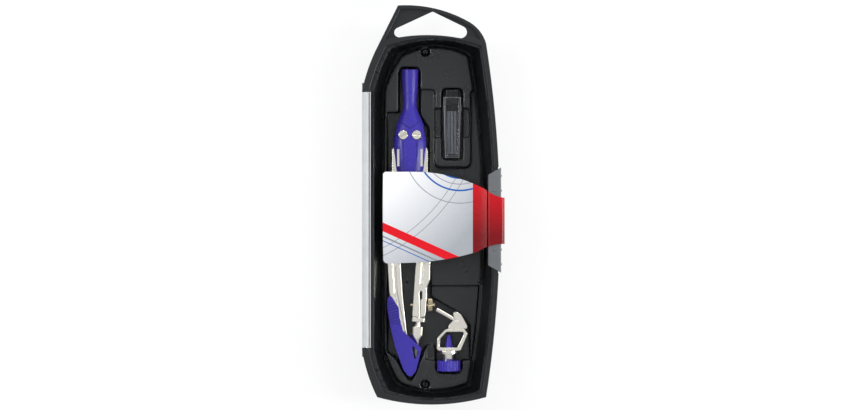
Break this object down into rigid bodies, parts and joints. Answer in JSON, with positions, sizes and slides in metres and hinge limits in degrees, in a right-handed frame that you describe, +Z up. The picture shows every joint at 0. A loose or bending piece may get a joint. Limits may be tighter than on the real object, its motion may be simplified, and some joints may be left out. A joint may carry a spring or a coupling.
{
  "type": "drafting instrument case",
  "caption": "Black drafting instrument case with a hang handle and clear hinged lid, holding a compass, a spare lead box and a pencil adapter",
  "frame": {"origin": "Centre of the flat back face that the case lies on", "axes": "X across the case towards the latch, Y along the case towards the hang handle, Z up through the lid"},
  "size_m": [0.0786, 0.2201, 0.0276],
  "materials": {
    "case_black": "satin",
    "tray_charcoal": "satin",
    "lid_clear": "clear",
    "hinge_silver": "satin",
    "latch_grey": "satin",
    "card_print": "gloss",
    "card_red": "gloss",
    "violet_plastic": "gloss",
    "nickel": "polished",
    "steel_pin": "brushed",
    "graphite": "matte",
    "smoke_clear": "clear",
    "stopper_black": "gloss"
  },
  "bodies": {
    "case": {"base_shell": "case_black", "tray_insert": "tray_charcoal", "tray_studs": "case_black", "hinge_pin": "steel_pin"},
    "cover": {"lid": "lid_clear", "hinge_barrel": "hinge_silver", "card_panel": "card_print"},
    "clip": {"latch": "latch_grey", "latch_pin": "steel_pin", "card_tab": "card_red"},
    "compass": {"head_front": "violet_plastic", "head_back": "violet_plastic", "pivot_screws": "nickel", "pivot_nuts": "nickel", "left_leg": "nickel", "right_leg": "nickel", "needle": "steel_pin", "needle_guard": "violet_plastic", "lead_holder": "nickel", "compass_lead": "graphite"},
    "clamp": {"clamp_screw": "nickel"},
    "leads": {"lead_box": "smoke_clear", "lead_box_stopper": "stopper_black", "spare_leads": "graphite"},
    "adapter": {"adapter_ring": "nickel", "adapter_bracket": "nickel", "adapter_rod": "nickel", "adapter_collar": "nickel"},
    "press_screw": {"adapter_knob": "violet_plastic", "adapter_ferrule": "nickel", "adapter_screw": "steel_pin", "adapter_tip": "violet_plastic"}
  },
  "joints": [
    {"name": "lid_hinge", "type": "hinge", "parent": "case", "child": "cover", "pos_m": [-0.0358, 0, 0.0226], "axis": [0, -1, 0], "range_deg": [0, 170]},
    {"name": "latch_hinge", "type": "hinge", "parent": "cover", "child": "clip", "pos_m": [0.0326, -0.0083, 0.0259], "axis": [0, -1, 0], "range_deg": [0, 60]},
    {"name": "compass_lift", "type": "slide", "parent": "case", "child": "compass", "axis": [0, 0, 1], "range_m": [0, 0.008]},
    {"name": "lead_box_lift", "type": "slide", "parent": "case", "child": "leads", "axis": [0, 0, 1], "range_m": [0, 0.008]},
    {"name": "adapter_lift", "type": "slide", "parent": "case", "child": "adapter", "axis": [0, 0, 1], "range_m": [0, 0.006]},
    {"name": "clamp_screw_turn", "type": "hinge", "parent": "compass", "child": "clamp", "pos_m": [-0.003, -0.0556, 0.0087], "axis": [1, 0, 0], "continuous": true},
    {"name": "adapter_screw_turn", "type": "hinge", "parent": "adapter", "child": "press_screw", "pos_m": [0.0099, -0.085, 0.0098], "axis": [0, 1, 0], "continuous": true}
  ]
}
